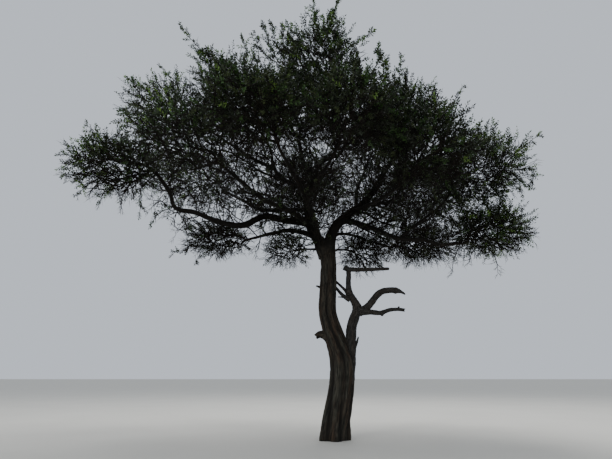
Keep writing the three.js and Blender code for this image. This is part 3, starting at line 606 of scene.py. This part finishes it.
def roll_limb(name, centres, across, third, stops, radii, sides, width, relief, ragged=0, painted_hollow_shade=None):
    """A grid primitive rolled into a closed limb. radii holds one radius for each row and side, the
    optional shade array how much painted shade falls in the hollows of the broad flutes there, and ragged
    how far a broken end is torn."""
    rows = len(centres) - 1
    bpy.ops.mesh.primitive_grid_add(x_subdivisions=sides, y_subdivisions=rows, size=1)
    limb = bpy.context.object
    limb.name = name
    mesh = limb.data
    flat = np.empty(len(mesh.vertices) * 3)
    mesh.vertices.foreach_get("co", flat)
    flat = flat.reshape(-1, 3)
    side = np.rint((flat[:, 0] + 0.5) * sides).astype(int) % sides
    row = np.rint((flat[:, 1] + 0.5) * rows).astype(int)
    angle = 2 * np.pi * side / sides
    radius = radii[row, side]
    along = stops[row] / GRAIN_STRETCH
    grain = np.stack([radius * np.cos(angle), radius * np.sin(angle), along], axis=1)
    grain += [sum(map(ord, name)) % 17, 0, 0]  # so that each limb has a pattern of its own
    hollow_and_shade = furrow_depth(grain, width)
    closed = (row == 0) | (row == rows)
    hollow_and_shade[closed] = 0
    carved = relief * np.minimum(1, radius / SHALLOW_BELOW) * hollow_and_shade
    reach = np.where(closed, 0, radius - carved)
    outward = turned(across[row], third[row], angle[:, None])
    places = centres[row] + outward * reach[:, None]
    if ragged:
        late = np.clip((row - rows + 3) / 2, 0, 1) * ~closed
        torn = np.sin(3 * angle + 1) + 0.8 * np.sin(7 * angle) + 0.5 * np.sin(11 * angle + 2)
        places += np.cross(across, third)[row] * (late * ragged * torn)[:, None]
    mesh.vertices.foreach_set("co", places.ravel())
    # The furrows' depth, with the trunk's flute hollows added, is painted onto the bark as shade
    mark_bark(mesh, grain, hollow_and_shade if painted_hollow_shade is None else np.minimum(1, 0.5 * hollow_and_shade + painted_hollow_shade[row, side]))
    bpy.ops.object.mode_set(mode="EDIT")
    bpy.ops.mesh.select_all(action="SELECT")
    bpy.ops.mesh.remove_doubles(threshold=0.00005)
    bpy.ops.mesh.normals_make_consistent(inside=False)
    bpy.ops.object.mode_set(mode="OBJECT")
    bpy.ops.object.shade_smooth()
    return limb


def carve_trunk():
    """The trunk on level rings, with root toes, deep flutes and a flat foot on the ground."""
    points, _, _ = smooth_line([(lean, 0, height) for height, lean, _ in TRUNK], 0.02)
    heights = np.concatenate([[0, 0], np.arange(0.03, 5.2, TRUNK_RING), [5.24, 5.25]])
    lean = np.interp(heights, points[:, 2], points[:, 0])
    table = np.array(TRUNK)
    shifts = (-0.14, -0.07, 0, 0.07, 0.14)
    near = [np.interp(heights + shift, table[:, 0], table[:, 2]) for shift in shifts]
    radius = np.mean(near, axis=0)
    level, around = np.meshgrid(heights, turns_of(TRUNK_SIDES), indexing="ij")
    toes = TOE_REACH * np.exp(-((level / TOE_HEIGHT) ** 2)) * np.cos(ROOT_TOES * around + 0.6)
    # The flutes wander round the trunk as they rise, and are shallower towards the fork
    wander = 0.32 * np.sin(around - 1.1 * level) + 0.16 * np.sin(2 * around + 3.7 * level)
    lobes = np.abs(np.cos(FLUTES / 2 * around + 0.28 * level + 0.16 * np.sin(2.1 * level) + wander))
    fade = np.clip((5.3 - level) / 1.6, 0.35, 1) * (1 + 0.3 * np.sin(3 * around + 2.3 * level))
    flutes = fade * (FLUTE_RISE * lobes ** 0.6 - FLUTE_MEAN)
    swell = 0.025 * np.sin(2 * around + 2.6 * level) + 0.02 * np.sin(3 * around - 4.1 * level)
    radii = radius[:, None] * (1 + toes + flutes + swell)
    centres = np.stack([lean, np.zeros_like(lean), heights], axis=1)
    across = np.tile([1.0, 0, 0], (len(heights), 1))
    third = np.tile([0, 1.0, 0], (len(heights), 1))
    # Painted shade: how dark the hollows between the flutes are made
    painted_hollow_shade = fade * (1 - lobes) ** 1.3
    return roll_limb("trunk_bark", centres, across, third, heights, radii, TRUNK_SIDES,
                     width=0.1, relief=0.02, painted_hollow_shade=painted_hollow_shade)


def carve_limb(name, shape, sides, step, width, relief, ragged=0):
    """One tapering limb with a collar at its root, gentle knots, and a round or a torn end."""
    base, tip, route = shape
    centres, heading, stops = smooth_line(route, step)
    across, third = frames_along(heading)
    share = stops / stops[-1]
    straight = base + (tip - base) * share ** TAPER
    collar = 1 + COLLAR * np.exp(-((stops / (COLLAR_LENGTH * base)) ** 2))
    left = np.minimum(1, (stops[-1] - stops) / tip)
    straight = straight * collar * (1 if ragged else np.sqrt(1 - (1 - left) ** 2))
    angle = turns_of(sides)
    lean = 0.05 * np.sin(3 * angle + 9 * share[:, None])
    knots = 0.05 * np.sin(2 * angle + 21 * share[:, None]) * np.sin(13 * share[:, None])
    radii = straight[:, None] * (1 + lean + knots)
    return roll_limb(name, centres, across, third, stops, radii, sides, width, relief, ragged)


def placed_in_scene(mesh):
    piece = bpy.data.objects.new(mesh.name, mesh)
    bpy.context.collection.objects.link(piece)
    return piece


def join_as(name, parts):
    bpy.ops.object.select_all(action="DESELECT")
    for part in parts:
        part.select_set(True)
    bpy.context.view_layer.objects.active = parts[0]
    bpy.ops.object.join()
    made = bpy.context.object
    made.name = name
    made.data.name = name
    return made


# Growth of the foliage masses
def reach_toward(reach, way):
    """How far a mass goes from its centre in a direction."""
    return 1 / np.linalg.norm(way / reach, axis=-1)


def space_of(name):
    """A mass's own space: its round outline, less what is nearer its neighbours."""
    _, centre, reach, _, _ = MASSES[name]
    planes = []
    for other, (_, their_centre, their_reach, _, _) in MASSES.items():
        if other != name:
            way = np.subtract(their_centre, centre)
            apart = np.linalg.norm(way)
            way /= apart
            mine = reach_toward(reach, way)
            theirs = reach_toward(their_reach, way)
            planes.append((way, apart * mine / (mine + theirs)))

    def inside(points):
        out = points - centre
        held = np.linalg.norm(out / reach, axis=1) < 1
        for way, limit in planes:
            held &= out @ way < limit
        return held

    return inside


def area_of(reach):
    x, y, z = reach
    power = 1.6  # of the usual rule for the surface of a ball drawn out three ways
    mean = ((x * y) ** power + (x * z) ** power + (y * z) ** power) / 3
    return 4 * math.pi * mean ** (1 / power)


def ways_round(count):
    """Directions spread evenly all round, from a chance start."""
    index = np.arange(count)
    up = 1 - 2 * (index + 0.5) / count
    around = index * GOLDEN_ANGLE + chance.random() * 6
    flat = np.sqrt(1 - up * up)
    return np.stack([flat * np.cos(around), flat * np.sin(around), up], axis=1)


def spread_goals(name):
    """Goals spread evenly round a mass in shells, moved in until they are inside its space, and goals
    in plumes that run outward."""
    _, centre, reach, fullness, _ = MASSES[name]
    inside = space_of(name)
    total = area_of(reach) * GOALS_PER_SQUARE_METRE * fullness
    deepest = 1 - 0.5 * SPRAY_LENGTH / np.mean(reach)
    goals = []
    for depth, share in SHELLS:
        count = max(LEAST_GOALS, round(total * share))
        ways = ways_round(count)
        lumps = np.array([noise.noise(Vector(way) * LUMPS + Vector(centre)) for way in ways])
        deep = deepest * (depth * (0.97 + LUMP_DEPTH * lumps) + chance.uniform(-0.05, 0.05, count))
        start = deep.copy()
        placed = ways * reach * deep[:, None] + centre
        for _ in range(MOVES_IN):
            out = ~inside(placed)
            deep = np.where(out, deep - MOVE_IN, deep)
            placed = ways * reach * deep[:, None] + centre
        moved_little = deep > start - 0.3 * chance.random(count) - 0.06
        goals.append(placed[inside(placed) & (deep > LEAST_DEPTH) & moved_little])
    ways = ways_round(round(total * PLUME_SHARE))
    bend = chance.normal(0, 0.09, ways.shape) + [0, 0, 0.03]
    end = deepest * chance.uniform(0.86, 1.06, (len(ways), 1))
    for step, depth in enumerate(PLUME_DEPTHS):
        placed = unit(ways + step * bend) * reach * depth * end + centre
        goals.append(placed[inside(placed)])
    return np.concatenate(goals)


def grow_from(root, goals):
    """Growing rule: the next goal reached has the shortest new twig, counting part of the way back."""
    count = len(goals)
    places = np.concatenate([[root], goals])
    parent = np.zeros(count + 1, int)
    way = np.zeros(count + 1)
    length = np.linalg.norm(places - root, axis=1)
    cost = length.copy()
    waiting = np.ones(count + 1, bool)
    waiting[0] = False
    order = [0]
    for _ in range(count):
        pick = int(np.argmin(np.where(waiting, cost, np.inf)))
        waiting[pick] = False
        order.append(pick)
        way[pick] = way[parent[pick]] + length[pick]
        near = np.linalg.norm(places - places[pick], axis=1)
        offer = near + PATH_SHARE * way[pick]
        better = waiting & (offer < cost)
        cost[better] = offer[better]
        length[better] = near[better]
        parent[better] = pick
    load = np.ones(count + 1)
    for pick in reversed(order[1:]):
        load[parent[pick]] += load[pick]
    return places, parent, load


def twig_lines(places, parent, load, thick, lead_in):
    """Twigs as long lines: each goes on into its heaviest side, and the others start from it."""
    children = [[] for _ in places]
    for i in range(1, len(places)):
        children[parent[i]].append(i)
    for side in children:
        side.sort(key=lambda i: -load[i])
    radius = TWIG_TIP + (thick - TWIG_TIP) * (load / load[0]) ** LOAD_POWER
    starts = [(None, 0)]
    for i, side in enumerate(children):
        starts += [(i, first) for first in side[1:]]
    lines = []
    for start, first in starts:
        run = [first]
        while children[run[-1]]:
            run.append(children[run[-1]][0])
        head = lead_in if start is None else places[start]
        head_radius = thick if start is None else radius[first]
        points = np.vstack([head, places[run]])
        lines.append((points, np.concatenate([[head_radius], radius[run]])))
    return lines


def bend_line(points, radii):
    """A rounder line with one more point between each two, slightly sagging."""
    count = len(points)
    if count < 3:
        middle = (points[0] + points[1]) / 2
        middle[2] -= 0.05 * np.linalg.norm(points[1] - points[0])
        return np.array([points[0], middle, points[1]]), np.array([radii[0], radii.mean(), radii[1]])
    before = np.vstack([points[:1], points[:-2]])
    after = np.vstack([points[2:], points[-1:]])
    middles = (points[:-1] + points[1:]) * 9 / 16 - (before + after) / 16
    made = np.empty((2 * count - 1, 3))
    made[0::2] = points
    made[1::2] = middles
    sizes = np.empty(2 * count - 1)
    sizes[0::2] = radii
    sizes[1::2] = (radii[:-1] + radii[1:]) / 2
    return made, sizes


class Tubes:
    """Collects thin closed tubes and turns them into one mesh."""

    def __init__(self):
        self.corners = []
        self.faces = []
        self.grain = []
        self.count = 0

    def add(self, points, radii, sides):
        across, third = frames_along(unit(np.gradient(points, axis=0)))
        angle = turns_of(sides)
        ring = turned(across[:-1, None], third[:-1, None], angle[:, None])
        rings = points[:-1, None] + ring * radii[:-1, None, None]
        rows = len(points) - 1
        self.corners.append(np.vstack([rings.reshape(-1, 3), points[-1:]]))
        gone = length_along(points) / TWIG_STRETCH
        along = np.concatenate([np.repeat(gone[:-1], sides), gone[-1:]])
        around = np.concatenate([np.tile(angle, rows), [0]])
        girth = np.concatenate([np.repeat(radii[:-1], sides), radii[-1:]])
        unrolled = (girth * np.cos(around) + points[0, 0], girth * np.sin(around), along)
        self.grain.append(np.stack(unrolled, axis=1))
        start = self.count
        for row in range(rows - 1):
            for side in range(sides):
                a = start + row * sides + side
                b = start + row * sides + (side + 1) % sides
                self.faces.append((a, b, b + sides, a + sides))
        last = start + (rows - 1) * sides
        tip = start + rows * sides
        for side in range(sides):
            self.faces.append((last + side, last + (side + 1) % sides, tip))
        self.faces.append(tuple(start + side for side in reversed(range(sides))))
        self.count = tip + 1

    def made(self, name):
        mesh = bpy.data.meshes.new(name)
        mesh.from_pydata(np.vstack(self.corners).tolist(), [], self.faces)
        mark_bark(mesh, np.vstack(self.grain))
        mesh.shade_smooth()
        return placed_in_scene(mesh)


class Sprays:
    """Collects where sprays grow, their heading and length, and which are in leaf."""

    def __init__(self):
        self.foot = []
        self.heading = []
        self.length = []
        self.in_leaf = []

    def add(self, foot, heading, length, leafy):
        self.foot.append(foot)
        self.heading.append(unit(heading))
        self.length.append(length * chance.uniform(0.75, 1.25, len(foot)))
        self.in_leaf.append(chance.random(len(foot)) < leafy)


def grow_twigs(root, goals, thick, lead_in, twigs, most_sides=6):
    """Twigs by the rule from a root to its goals, with fewer sides where they are thin. It gives the
    goals that were reached and the way that the twig to each runs."""
    places, parent, load = grow_from(root, goals)
    for line, radii in twig_lines(places, parent, load, thick, lead_in):
        sides = 6 if radii[0] > 0.02 else 4 if radii[0] > 0.01 else 3
        twigs.add(*bend_line(line, radii), min(sides, most_sides))
    return places[1:], unit(places[1:] - places[parent[1:]])


def grow_mass(name, twigs, sprays):
    """A mass's twigs from its limb's tip to all its goals. Its sprays go on as their twigs do and lean
    out of the mass and up. Most of those on its lit upper side are in leaf, and few beneath."""
    limb, centre, reach, _, leafy = MASSES[name]
    _, tip, route = LIMBS[limb]
    points, heading, _ = smooth_line(route, 0.1)
    thick = STEM_SHARE * tip
    root = points[-1] + heading[-1] * STEM_LENGTH * thick
    lead_in = points[-1] - heading[-1] * STEM_SUNK
    grown, run = grow_twigs(root, spread_goals(name), thick, lead_in, twigs)
    away = unit((grown - centre) / np.square(reach))
    ways = 0.6 * run + 0.75 * away + chance.normal(0, 0.36, away.shape) + [0, 0, 0.12]
    lit = np.clip(0.62 + 1.1 * (grown[:, 2] - centre[2]) / reach[2], 0.1, 1)
    sprays.add(grown, ways, SPRAY_LENGTH, leafy * lit)
    return grown


def grow_shoots(name, shape, twigs, sprays):
    """Leafy side shoots along a limb, each grown by the same rule into a small fan."""
    base, tip, route = shape
    points, heading, stops = smooth_line(route, 0.05)
    across, third = frames_along(heading)
    at = 0.25 * min(1, stops[-1] / 3)
    turn = sum(map(ord, name)) % 7
    while at < stops[-1] - 0.1:
        i = int(np.searchsorted(stops, at))
        turn += GOLDEN_ANGLE
        side = turned(across[i], third[i], turn)
        way = unit(side + 0.6 * heading[i] + [0, 0, 0.3])
        length = chance.uniform(*SHOOT_LENGTHS) * (0.4 if way[2] < 0 else 1 - 0.4 * at / stops[-1])
        length *= min(1, stops[-1] / 2)
        girth = base + (tip - base) * (at / stops[-1]) ** TAPER
        root = points[i] + side * girth * 0.6
        count = round(SHOOT_GOALS * length)
        far = chance.uniform(0.25, 1, count) * length
        goals = root + way * far[:, None] + chance.normal(0, 0.17, (count, 3)) * far[:, None]
        lead_in = root - side * girth * 0.3
        grown, run = grow_twigs(root + way * 0.1, goals, SHOOT_RADIUS, lead_in, twigs, most_sides=3)
        ways = run + chance.normal(0, 0.3, run.shape)
        sprays.add(grown, ways, SHOOT_SPRAY, SHOOT_LEAFY)
        at += chance.uniform(*SHOOT_GAPS)


def grow_sprig(leafy, route, twigs, sprays, grown):
    """One long shoot from the nearest grown twig, with sprays along it that get shorter."""
    points, heading, stops = smooth_line(route, 0.07)
    foot = grown[np.argmin(np.linalg.norm(grown - points[0], axis=1))]
    twigs.add(np.vstack([foot, points]), np.linspace(*SPRIG_RADII, len(points) + 1), 4)
    ways = heading + chance.normal(0, 0.6, heading.shape)
    sprays.add(points, ways, SPRIG_SPRAY - SPRIG_TAPER * stops / stops[-1], leafy)


def grow_closing_shoots(name, twigs, sprays, grown):
    """Leafy shoots that leave a mass on the side that they lean to."""
    _, centre, reach, _, _ = MASSES[name]
    count, lean = CLOSING_SHOOTS[name]
    lean = np.array(lean)
    for out in unit(unit(lean) + chance.normal(0, 0.45, (count, 3))):
        foot = centre + 0.7 * out * reach
        end = foot + lean * chance.uniform(0.6, 1.1) + chance.normal(0, 0.22, 3)
        bend = (foot + end) / 2 + chance.normal(0, 0.1, 3)
        grow_sprig(1, [foot, bend, end], twigs, sprays, grown)


# Leaves
def model_leaf():
    """One small leaf folded along its midrib, as corner places and faces."""
    bpy.ops.mesh.primitive_plane_add(size=1)
    leaf = bpy.context.object
    bpy.ops.object.mode_set(mode="EDIT")
    bpy.ops.mesh.select_all(action="SELECT")
    bpy.ops.transform.rotate(value=math.pi / 4, orient_axis="Z", center_override=(0, 0, 0))
    bpy.ops.mesh.quads_convert_to_tris(quad_method="FIXED")
    bpy.ops.object.mode_set(mode="OBJECT")
    corners = np.array([v.co for v in leaf.data.vertices])
    faces = np.array([p.vertices[:] for p in leaf.data.polygons])
    bpy.data.objects.remove(leaf)
    corners /= np.abs(corners).max()
    on_midrib = np.abs(corners[:, 1]) < 0.01
    corners[:, 0] = np.where(on_midrib, 0.5 + 0.5 * corners[:, 0], LEAF_WIDEST)
    corners[:, 1] *= 0.5 * LEAF_WIDTH / LEAF_LENGTH
    corners[:, 2] = np.where(on_midrib, 0, LEAF_FOLD)
    return corners, faces


def placed_copies(name, made, faces):
    """One mesh of many small copies: made holds the corners of each, faces one copy's faces."""
    numbers = faces[None] + made.shape[1] * np.arange(len(made))[:, None, None]
    mesh = bpy.data.meshes.new(name)
    mesh.vertices.add(made.shape[0] * made.shape[1])
    mesh.vertices.foreach_set("co", made.ravel())
    mesh.loops.add(numbers.size)
    mesh.loops.foreach_set("vertex_index", numbers.ravel())
    mesh.polygons.add(numbers.size // 3)
    mesh.polygons.foreach_set("loop_start", np.arange(0, numbers.size, 3))
    mesh.update(calc_edges=True)
    mesh.validate()
    return placed_in_scene(mesh)


def cone_mesh(name, feet, tips):
    """Thin closed cones with three sides, one from each foot to its tip."""
    heading = unit(tips - feet)
    side = unit(np.cross(heading, [0.31, 0.23, 0.92]))  # across the cone, wherever it heads
    over = np.cross(heading, side)
    ring = turned(side[:, None], over[:, None], turns_of(3)[:, None])
    made = np.concatenate([feet[:, None] + SPRAY_TWIG * ring, tips[:, None]], axis=1)
    piece = placed_copies(name, made, np.array([(0, 1, 3), (1, 2, 3), (2, 0, 3), (2, 1, 0)]))
    mark_bark(piece.data, made * [1, 1, 1 / TWIG_STRETCH])
    return piece


def dress_sprays(sprays):
    """Every spray's own twig, with leaves along it or, where it is bare, with thin forks."""
    foot = np.vstack(sprays.foot)
    heading = np.vstack(sprays.heading)
    length = np.concatenate(sprays.length)[:, None]
    in_leaf = np.concatenate(sprays.in_leaf)
    count = len(foot)
    side = unit(np.cross(heading, chance.normal(0, 1, heading.shape)))
    over = np.cross(heading, side)
    feet = [foot]
    tips = [foot + heading * length]
    for k in range(FORKS_ON_BARE_SPRAY):
        t = 0.12 + 0.7 * (k + chance.random((count, 1))) / FORKS_ON_BARE_SPRAY
        turn = k * GOLDEN_ANGLE + chance.uniform(0, 1.5, (count, 1))
        way = 1.6 * heading + turned(side, over, turn)
        start = foot + heading * length * t
        feet.append(start[~in_leaf])
        tips.append((start + way * length * chance.uniform(*FORK_LENGTHS, (count, 1)))[~in_leaf])
    places = []
    ways = []
    sizes = []
    for k in range(LEAVES_ON_SPRAY):
        t = 0.1 + 0.9 * (k + chance.uniform(-0.3, 0.3, (count, 1))) / (LEAVES_ON_SPRAY - 1)
        turn = k * GOLDEN_ANGLE + chance.uniform(0, 0.9, (count, 1))
        last = k == LEAVES_ON_SPRAY - 1
        open_out = (0.2 if last else 0.95) + chance.uniform(-0.2, 0.2, (count, 1))
        places.append(foot + heading * length * t)
        ways.append(turned(heading, turned(side, over, turn), open_out))
        size = LEAF_LENGTH * chance.uniform(*LEAF_SIZES, (count, 1))
        sizes.append(size * (1 - 0.25 * np.abs(t - 0.45)))
    leaves = [np.stack(rows, axis=1)[in_leaf] for rows in (places, ways, sizes)]
    return np.vstack(feet), np.vstack(tips), leaves, foot[in_leaf]


def leaf_mesh(name, places, ways, sizes):
    """All leaves of one green, each with its face turned up, more or less."""
    corners, faces = model_leaf()
    places = places.reshape(-1, 3)
    ways = ways.reshape(-1, 3)
    sizes = sizes.reshape(-1)
    up = chance.normal(0, 0.55, ways.shape) + [0, 0, 1]
    widths = unit(np.cross(up, ways))
    overs = np.cross(ways, widths)
    axes = np.stack([ways, widths, overs], axis=1)
    return placed_copies(name, places[:, None] + sizes[:, None, None] * (corners @ axes), faces)


def tone_of(foot):
    """Which green each spray is: deeper inside darker, as painted shade, and outermost more often the
    palest green, partly new growth and partly painted light.
    """
    outer = np.linalg.norm((foot - CROWN_MIDDLE) / CROWN_REACH, axis=1)
    pick = chance.random(len(foot)) + TONE_SHIFT * (np.clip(outer, 0.5, 1.1) - EVEN_AT)
    return np.digitize(pick, TONE_LIMITS)


set_camera()
set_studio()

# Living bark is grey-brown and deeply fissured, with a painted shadow of the crown on its upper part,
# dead wood weathered grey with fine checks, and twig bark thin, brown and nearly smooth
bark = finish_bark(
    "fissured_grey_brown_bark", ridge="#3c3a32", warm="#45382c", groove_and_shade="#13110e", patch="#525147",
    width=0.04, bump=0.012, crown_shadow_strength=0.92,
)
dead_bark = finish_bark(
    "weathered_grey_dead_wood", ridge="#3d3c39", warm="#3f3832", groove_and_shade="#1a1816", patch="#4e4d4b",
    width=0.022, bump=0.006,
)
twig_bark = finish_bark(
    "thin_brown_twig_bark", ridge="#1b1813", warm="#221a13", groove_and_shade="#0f0d0a", patch="#25211b",
    width=0.02, bump=0.002,
)

living = [carve_trunk()]
for name, shape in LIMBS.items():
    sides = 40 if name.startswith("leader") else 24
    living.append(carve_limb(name + "_bark", shape, sides, step=0.04, width=0.05, relief=0.012))
for name, shape in LESSER_BOUGHS.items():
    living.append(carve_limb(name, shape, sides=12, step=0.05, width=0.03, relief=0.005))
for name, shape in STUBS.items():
    living.append(carve_limb(name, shape, sides=24, step=0.02, width=0.05, relief=0.008, ragged=0.03))
wood = join_as("living_wood", living)
wood.data.materials.append(bark)

arms = []
for name, shape in DEAD.items():
    ragged = 0.03 if name in ("dead_stub", "dead_upright", "dead_lower") else 0
    arms.append(carve_limb(name, shape, sides=28, step=0.02, width=0.028, relief=0.008, ragged=ragged))
dead = join_as("dead_wood", arms)
dead.data.materials.append(dead_bark)

twigs_left = Tubes()
twigs_right = Tubes()
sprays = Sprays()


def twigs_at(place):
    """The twigs that are joined with those at a place."""
    return twigs_left if place[0] < MIDDLE else twigs_right


grown = []
for name, (_, centre, _, _, _) in MASSES.items():
    grown.append(grow_mass(name, twigs_at(centre), sprays))
grown = np.vstack(grown)
for name, shape in (LIMBS | LESSER_BOUGHS).items():
    grow_shoots(name, shape, twigs_at(shape[2][-1]), sprays)
for leafy, route in SPRIGS:
    grow_sprig(leafy, route, twigs_at(route[0]), sprays, grown)
for name in CLOSING_SHOOTS:
    grow_closing_shoots(name, twigs_at(MASSES[name][1]), sprays, grown)

feet, tips, (places, ways, sizes), foot = dress_sprays(sprays)
on_left = feet[:, 0] < MIDDLE
thin_wood = [
    twigs_left.made("twigs_left"),
    twigs_right.made("twigs_right"),
    cone_mesh("spray_twigs_left", feet[on_left], tips[on_left]),
    cone_mesh("spray_twigs_right", feet[~on_left], tips[~on_left]),
]
for piece in thin_wood:
    piece.data.materials.append(twig_bark)
tones = tone_of(foot)
leaves = []
for index, (tone, colours) in enumerate(LEAF_TONES.items()):
    chosen = tones == index
    piece = leaf_mesh("leaves_" + tone, places[chosen], ways[chosen], sizes[chosen])
    piece.data.materials.append(finish_leaf("leaf_" + tone, *colours))
    leaves.append(piece)

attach(wood, "root")
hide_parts("trunk", *LIMBS)
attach(dead, "root")
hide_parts("dead_branch")
for piece in thin_wood:
    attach(piece, "root")
    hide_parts(*MASSES)
for piece in leaves:
    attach(piece, "root")
    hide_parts(*MASSES)
